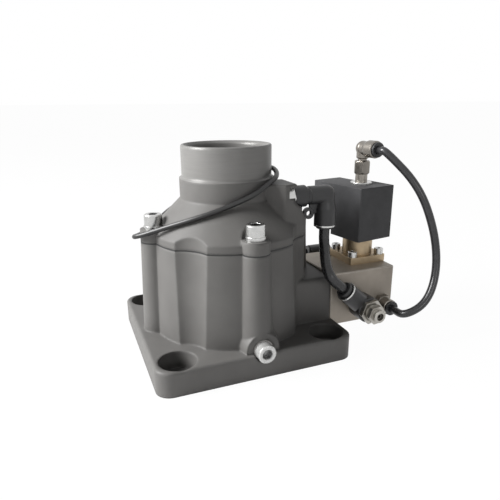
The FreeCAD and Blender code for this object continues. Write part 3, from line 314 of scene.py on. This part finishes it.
def cast_finish(name, colour, machined=None):
    """Grey coated casting: fine grain, soft edges, faint mottling. Where a colour of machined metal is
    given, the turned neck, its rim and the bore are bare metal with fine turning lines."""
    f = Finish(name)
    p = f.place()
    x, y, z = f.parts(p)
    mottle = f.noise(p, 60.0, 4.0)
    grain = f.noise(p, 1500.0, 2.0)
    pits = f.cells(p, 900.0)
    worn = f.edge_wear(0.0012)
    base = f.mix(mottle.between(0.3, 0.75), scaled(colour, 0.93), scaled(colour, 1.08))
    base = f.mix(worn * 0.3, base, scaled(colour, 1.7))
    height = grain * 0.6 + pits * 0.5
    rough = mottle * 0.12 + 0.46
    metal = 0.0
    if machined:
        radius = (x * x + y * y).power(0.5)
        neck = z.between(*BAND_FOOT).most((radius < BORE_RADIUS) * (z > BORE_FOOT))
        rings = f.noise(f.vector(0.0, 0.0, z * 7000.0), 1.0, 1.0)
        streak = f.noise(f.vector(x * 40.0, y * 40.0, z * 900.0), 1.0, 2.0)
        base = f.mix(neck, base, f.mix(streak, scaled(machined, 0.88), scaled(machined, 1.08)))
        height = height * (1.0 - neck) + rings * neck * 0.5
        rough = rough * (1.0 - neck) + (streak * 0.1 + 0.34) * neck
        metal = neck * 0.2
    return f.set(Base_Color=base, Roughness=rough, Metallic=metal, Specular_IOR_Level=0.3,
                 Normal=f.bump(height, distance=0.00006, strength=0.5, edges=f.soft_edges(0.0024)))


def plated_finish(name, colour, head=None, metal=1.0):
    """Bright plated steel with faint haze. The sockets of the cover's screws and the plug get painted
    shade: their colour is darkened there.
    """
    f = Finish(name)
    p = f.place()
    x, y, z = f.parts(p)
    haze = f.noise(p, 350.0, 3.0)
    scratch = f.noise(p, 900.0, 2.0, stretch=(1.0, 1.0, 0.15))
    worn = f.edge_wear(0.0004)
    base = f.mix(haze.between(0.3, 0.8), scaled(colour, 0.85), colour)
    base = f.mix(worn * 0.4, base, (0.9, 0.9, 0.9))
    if head == "screw":
        across = abs(x) > abs(y)
        u = across * (abs(x) - SCREW_OFFSET) + (1.0 - across) * x
        v = across * y + (1.0 - across) * (abs(y) - SCREW_OFFSET)
        inside, painted_shade = z < SCREW_SOCKET_MOUTH, (0.05, 0.05, 0.05)
    if head == "plug":
        u, v = x - PLUG_X, z - PLUG_Z
        inside, painted_shade = y > PLUG_SOCKET_MOUTH, (0.2, 0.2, 0.2)
    # Painted shade: inside each socket the base colour is darkened, near black in the cover's screws
    # and dark grey in the plug.
    if head:
        reach = (u * u + v * v).power(0.5)
        base = f.mix((reach < SOCKET_RADIUS) * inside * 0.85, base, painted_shade)
    return f.set(Base_Color=base, Metallic=metal, Roughness=haze * 0.12 + 0.2,
                 Normal=f.bump(scratch, distance=0.000006, strength=0.5, edges=f.soft_edges(0.0004)))


def milled_finish(name, colour, dull=0.42, metal=0.7):
    """Milled alloy block: cutter lines, faint stains and bright worn edges."""
    f = Finish(name)
    p = f.place()
    stain = f.noise(p, 45.0, 4.0)
    lines = f.noise(p, 500.0, 2.0, stretch=(0.08, 1.0, 1.0))
    grain = f.noise(p, 2500.0, 1.0)
    worn = f.edge_wear(0.0008)
    base = f.mix(stain.between(0.35, 0.7), scaled(colour, 0.82), scaled(colour, 1.08))
    base = f.mix(worn * 0.5, base, (0.8, 0.79, 0.77))
    return f.set(Base_Color=base, Metallic=metal, Roughness=stain * 0.15 + lines * 0.08 + dull,
                 Normal=f.bump(lines * 0.6 + grain * 0.4, distance=0.00003, strength=0.5,
                               edges=f.soft_edges(0.0006)))


def moulded_finish(name, colour, rough, grain_scale=1800.0, depth=0.00004, shine=0.5):
    """Moulded black plastic with a fine spark grain and slightly rubbed edges."""
    f = Finish(name)
    p = f.place()
    grain = f.cells(p, grain_scale)
    cloud = f.noise(p, 90.0, 3.0)
    worn = f.edge_wear(0.0006)
    base = f.mix(cloud.between(0.3, 0.7), colour, scaled(colour, 1.35))
    base = f.mix(worn * 0.35, base, scaled(colour, 2.6))
    return f.set(Base_Color=base, Roughness=cloud * 0.12 + rough, Specular_IOR_Level=shine,
                 Normal=f.bump(grain, distance=depth, strength=0.4, edges=f.soft_edges(0.0006)))


def line_finish(name, colour):
    """Smooth extruded tube with faint draw marks along it and a little dust."""
    f = Finish(name)
    p = f.place()
    dust = f.noise(p, 220.0, 3.0)
    marks = f.noise(p, 1200.0, 2.0, stretch=(1.0, 1.0, 0.1))
    base = f.mix(dust.between(0.45, 0.9), colour, scaled(colour, 1.8))
    return f.set(Base_Color=base, Roughness=dust * 0.14 + 0.2,
                 Normal=f.bump(marks, distance=0.000003, strength=0.4))


def rubber_finish(name, colour, rough=0.55):
    """Black rubber with a bloom that comes and goes."""
    f = Finish(name)
    p = f.place()
    bloom = f.noise(p, 120.0, 4.0)
    skin = f.noise(p, 1600.0, 2.0)
    base = f.mix(bloom.between(0.4, 0.8), colour, scaled(colour, 1.9))
    return f.set(Base_Color=base, Roughness=bloom * 0.15 + rough,
                 Normal=f.bump(skin, distance=0.00004, strength=0.5))


def turned_finish(name, colour, rough, tarnish=0.2):
    """Turned metal, such as brass or nickel plate, with tool rings, haze and tarnish in patches."""
    f = Finish(name)
    p = f.place()
    patch = f.noise(p, 140.0, 4.0)
    rings = f.noise(p, 2600.0, 1.0)
    worn = f.edge_wear(0.0004)
    base = f.mix(patch.between(0.4, 0.8) * tarnish, colour, scaled(colour, 0.55))
    base = f.mix(worn * 0.35, base, scaled(colour, 1.3))
    return f.set(Base_Color=base, Metallic=1.0, Roughness=patch * 0.2 + rough,
                 Normal=f.bump(rings, distance=0.00002, strength=0.5, edges=f.soft_edges(0.0004)))


# Settings that a user would change

def colour_setting(name, description, default):
    return bpy.props.FloatVectorProperty(name=name, description=description, subtype="COLOR",
                                         default=default, min=0.0, max=1.0)


class CastingSettings(bpy.types.PropertyGroup):
    """Colours of the two castings."""
    coat: colour_setting("Coat", "Colour of the coated castings", (0.104, 0.101, 0.097))
    machined: colour_setting("Machined metal", "Colour of the turned neck and bore",
                             (0.17, 0.167, 0.161))


class FittingSettings(bpy.types.PropertyGroup):
    """Colours of the fittings, screws and block."""
    plated: colour_setting("Plated steel", "Colour of the screws and washers", (0.6, 0.6, 0.59))
    nickel: colour_setting("Nickel plate", "Colour of the metal fittings", (0.25, 0.232, 0.208))
    brass: colour_setting("Brass", "Colour of the solenoid's base", (0.42, 0.33, 0.22))
    block: colour_setting("Block alloy", "Colour of the side block", (0.33, 0.295, 0.255))
    black: colour_setting("Black plastic", "Colour of the black fittings", (0.016, 0.016, 0.017))


class LineSettings(bpy.types.PropertyGroup):
    """Sizes of the air lines and the loose seal."""
    control_size: bpy.props.FloatProperty(
        name="Control line", description="Outer diameter of the control line, in millimetres",
        default=8.0, min=4.0, max=12.0)
    exhaust_size: bpy.props.FloatProperty(
        name="Exhaust line", description="Outer diameter of the exhaust line, in millimetres",
        default=6.0, min=4.0, max=10.0)
    seal_size: bpy.props.FloatProperty(
        name="Loose seal", description="Section of the loose ring, in millimetres",
        default=3.5, min=2.0, max=6.0)


class StudioSettings(bpy.types.PropertyGroup):
    """Light and floor."""
    key_power: bpy.props.FloatProperty(
        name="Key light", description="Power of the soft light on the left", default=39.0,
        min=0.0, max=100.0, unit="POWER")
    fill_power: bpy.props.FloatProperty(
        name="Fill light", description="Power of the small light in front", default=0.6,
        min=0.0, max=100.0, unit="POWER")
    floor: colour_setting("Floor", "Colour of the floor", (0.9, 0.9, 0.9))


def tint(prop):
    """A colour property as a plain tuple."""
    return tuple(float(c) for c in prop)


# Operators

class VALVE_OT_studio(bpy.types.Operator):
    """Camera, floor, backdrop and soft lights"""
    bl_idname = "valve.studio"
    bl_label = "Studio"

    def execute(self, context):
        studio = context.scene.valve_studio
        yaw, pitch, roll = (math.radians(a) for a in CAMERA_ANGLES)
        ahead = np.array([math.sin(yaw) * math.cos(pitch), math.cos(yaw) * math.cos(pitch),
                          -math.sin(pitch)])
        level = np.array([math.cos(yaw), -math.sin(yaw), 0.0])
        lift = np.cross(level, ahead)
        right = math.cos(roll) * level + math.sin(roll) * lift
        upward = -math.sin(roll) * level + math.cos(roll) * lift
        lens = bpy.data.cameras.new("camera")
        lens.sensor_fit = "HORIZONTAL"
        lens.sensor_width = SENSOR_WIDTH
        lens.lens = SENSOR_WIDTH * FOCAL_PIXELS / PHOTO_PIXELS
        lens.clip_start = 0.01
        camera = new_piece("camera", lens)
        matrix = np.eye(4)
        matrix[:3, 0] = right
        matrix[:3, 1] = upward
        matrix[:3, 2] = -ahead
        matrix[:3, 3] = CAMERA_PLACE
        camera.matrix_world = Matrix(matrix.tolist())
        context.scene.camera = camera

        white = (1.0, 1.0, 1.0)
        floor = floor_piece("floor", FLOOR_REACH)
        paper = Finish("floor_paper")
        fibre = paper.noise(paper.place(), 30.0, 3.0)
        colour = tint(studio.floor)
        paper.set(Base_Color=paper.mix(fibre, scaled(colour, 0.985), colour), Roughness=0.9)
        glow = paper.add("ShaderNodeEmission", None, {"Color": white, "Strength": 1.0})
        blend = paper.add("ShaderNodeMixShader", None, {
            0: paper.ray("Camera").most(paper.ray("Glossy")) * FLOOR_GLOW,
            1: Value(paper, paper.surface.outputs[0]), 2: glow})
        paper.put(paper.nodes["Material Output"].inputs["Surface"], blend)
        wear(floor, paper.material)

        world = bpy.data.worlds.new("studio")
        context.scene.world = world
        world.use_nodes = True
        sky = Shader(world.node_tree)
        seen = sky.ray("Camera").most(sky.ray("Glossy")).most(sky.ray("Transmission"))
        back = sky.nodes["Background"]
        sky.put(back.inputs["Color"], white)
        sky.put(back.inputs["Strength"], sky.add(
            "ShaderNodeMapRange", None, {"Value": seen, "To Min": BACKDROP_LIGHT, "To Max": 1.0}))

        for name, power, size, place in (
                ("key", studio.key_power, 0.7, (-1.0, 0.18, 0.74)),
                ("fill", studio.fill_power, 0.15, (0.1, -0.9, 0.3))):
            lamp = bpy.data.lights.new(name, "AREA")
            lamp.energy = power
            lamp.shape = "DISK"
            lamp.size = size
            held = new_piece(name, lamp)
            held.location = place
            aim = Vector(LAMP_AIM) - Vector(place)
            held.rotation_euler = aim.to_track_quat("-Z", "Y").to_euler()
        context.scene.view_settings.view_transform = "Standard"
        return {"FINISHED"}


class VALVE_OT_air_lines(bpy.types.Operator):
    """The control line and the exhaust line"""
    bl_idname = "valve.air_lines"
    bl_label = "Air lines"

    def execute(self, context):
        lines = context.scene.valve_lines
        finish = line_finish("air_line_black", (0.016, 0.016, 0.017))
        for name, node, route, size, length in (
                ("control_line", "control_tube", CONTROL_ROUTE, lines.control_size, CONTROL_LENGTH),
                ("exhaust_line", "exhaust_tube", EXHAUST_ROUTE, lines.exhaust_size, EXHAUST_LENGTH)):
            piece = curve_piece(name, route, size / 2)
            wear(piece, finish)
            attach(piece, "valve")
            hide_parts(node)
            tuple(c * MM for c in route[0])
            length * MM
            size * MM
        return {"FINISHED"}


class VALVE_OT_loose_seal(bpy.types.Operator):
    """The rubber ring that hangs round the neck"""
    bl_idname = "valve.loose_seal"
    bl_label = "Loose seal"

    def execute(self, context):
        piece = curve_piece("loose_ring", SEAL_ROUTE, context.scene.valve_lines.seal_size / 2, True)
        wear(piece, rubber_finish("loose_ring_rubber", (0.009, 0.009, 0.009), rough=0.34))
        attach(piece, "loose_seal")
        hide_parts("mounting_seal")
        return {"FINISHED"}


class VALVE_OT_castings(bpy.types.Operator):
    """Finish of the body and the cover"""
    bl_idname = "valve.castings"
    bl_label = "Castings"

    def execute(self, context):
        colours = context.scene.valve_castings
        coat, bare = tint(colours.coat), tint(colours.machined)
        dress(cast_finish("body_cast", coat), "valve_body")
        dress(cast_finish("cover_cast", coat, bare), "intake_cover")
        dress(rubber_finish("gasket_black", (0.014, 0.014, 0.014)), "cover_gasket")
        return {"FINISHED"}


class VALVE_OT_fasteners(bpy.types.Operator):
    """Screws, spring washers and the front plug"""
    bl_idname = "valve.fasteners"
    bl_label = "Fasteners"

    def execute(self, context):
        plated = tint(context.scene.valve_fittings.plated)
        dress(plated_finish("cover_screw_plate", plated, head="screw"), "cover_screws")
        dress(plated_finish("plug_plate", plated, head="plug", metal=0.6), "port_plug")
        dress(plated_finish("bright_plate", plated), "cover_spring_washers", "block_screws",
              "solenoid_base_screws", "coil_washers", "connector_screw", "control_stud",
              "fitting_bands")
        dress(turned_finish("washer_steel", (0.3, 0.29, 0.28), rough=0.35, tarnish=0.35),
              "plug_washer")
        return {"FINISHED"}


class VALVE_OT_fittings(bpy.types.Operator):
    """Metal and black push-in fittings"""
    bl_idname = "valve.fittings"
    bl_label = "Fittings"

    def execute(self, context):
        colours = context.scene.valve_fittings
        dress(turned_finish("nickel_plate", tint(colours.nickel), rough=0.22, tarnish=0.25),
              "vent_stud", "vent_elbow", "return_fitting", "rear_stud")
        dress(turned_finish("fresh_nickel", (0.4, 0.385, 0.355), rough=0.2, tarnish=0.15),
              "banjo_collar", "banjo_bolt")
        dress(turned_finish("dark_steel", (0.12, 0.115, 0.105), rough=0.3), "flow_screw")
        dress(moulded_finish("fitting_black", tint(colours.black), rough=0.34, grain_scale=2400.0,
                             depth=0.00002),
              "control_elbow", "control_collet", "banjo_body", "banjo_collet", "rear_elbow",
              "rear_collet", "vent_collet", "return_collet")
        return {"FINISHED"}


class VALVE_OT_solenoid(bpy.types.Operator):
    """Side block, solenoid base, coil and connector"""
    bl_idname = "valve.solenoid"
    bl_label = "Solenoid and block"

    def execute(self, context):
        colours = context.scene.valve_fittings
        dress(milled_finish("block_alloy", tint(colours.block)), "blowdown_block")
        dress(turned_finish("base_brass", tint(colours.brass), rough=0.34, tarnish=0.45),
              "solenoid_base")
        dress(turned_finish("stainless", (0.3, 0.28, 0.25), rough=0.3), "armature_tube")
        dress(moulded_finish("coil_black", (0.048, 0.048, 0.05), rough=0.6, shine=0.25),
              "solenoid_coil", "coil_connector", "cable_gland")
        return {"FINISHED"}


class VALVE_OT_inner_pieces(bpy.types.Operator):
    """Disc, rod, pistons, springs and seals inside"""
    bl_idname = "valve.inner_pieces"
    bl_label = "Inner pieces"

    def execute(self, context):
        dress(turned_finish("inner_steel", (0.5, 0.5, 0.49), rough=0.28),
              "piston_rod", "disc_nut", "piston_nut", "hub_snap_ring", "return_spring",
              "blowdown_spring", "plunger_spring", "fixed_core", "solenoid_plunger", "blowdown_cap")
        dress(turned_finish("inner_brass", (0.6, 0.46, 0.25), rough=0.3),
              "guide_bush", "blowdown_piston")
        dress(milled_finish("inner_alloy", (0.5, 0.5, 0.49), dull=0.36, metal=0.85),
              "control_piston", "hub_cap", "valve_disc")
        dress(turned_finish("winding_copper", (0.55, 0.26, 0.13), rough=0.3), "coil_winding")
        dress(rubber_finish("seal_black", (0.02, 0.02, 0.02)),
              "disc_seal", "piston_seal", "block_gasket", "blowdown_seal", "solenoid_seal",
              "connector_gasket", "gland_seal")
        for node, joint, fixed_end, travel in (
                ("return_spring", "valve_open", 0.008, 0.014),
                ("blowdown_spring", "blowdown_open", 0.0175, 0.005),
                ("plunger_spring", "plunger_lift", 0.0865, 0.002)):
            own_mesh(NODES[node])
        return {"FINISHED"}


STEPS = (VALVE_OT_studio, VALVE_OT_air_lines, VALVE_OT_loose_seal, VALVE_OT_castings,
         VALVE_OT_fasteners, VALVE_OT_fittings, VALVE_OT_solenoid, VALVE_OT_inner_pieces)


class VALVE_PT_panel(bpy.types.Panel):
    """Lists the pieces and their settings"""
    bl_idname = "VALVE_PT_panel"
    bl_label = "Intake valve"
    bl_space_type = "VIEW_3D"
    bl_region_type = "UI"
    bl_category = "Intake Valve"

    def draw(self, context):
        for group in (context.scene.valve_castings, context.scene.valve_fittings,
                      context.scene.valve_lines, context.scene.valve_studio):
            section = self.layout.box()
            for name in group.bl_rna.properties.keys():
                if name not in ("rna_type", "name"):
                    section.prop(group, name)
        for step in STEPS:
            self.layout.operator(step.bl_idname)


GROUPS = (("valve_castings", CastingSettings), ("valve_fittings", FittingSettings),
          ("valve_lines", LineSettings), ("valve_studio", StudioSettings))


def register():
    for name, group in GROUPS:
        bpy.utils.register_class(group)
        setattr(bpy.types.Scene, name, bpy.props.PointerProperty(type=group))
    for step in STEPS:
        bpy.utils.register_class(step)
    bpy.utils.register_class(VALVE_PT_panel)


def unregister():
    bpy.utils.unregister_class(VALVE_PT_panel)
    for step in reversed(STEPS):
        bpy.utils.unregister_class(step)
    for name, group in reversed(GROUPS):
        delattr(bpy.types.Scene, name)
        bpy.utils.unregister_class(group)


def main():
    register()
    for step in STEPS:
        group, name = step.bl_idname.split(".")
        getattr(getattr(bpy.ops, group), name)()


if __name__ == "__main__":
    main()
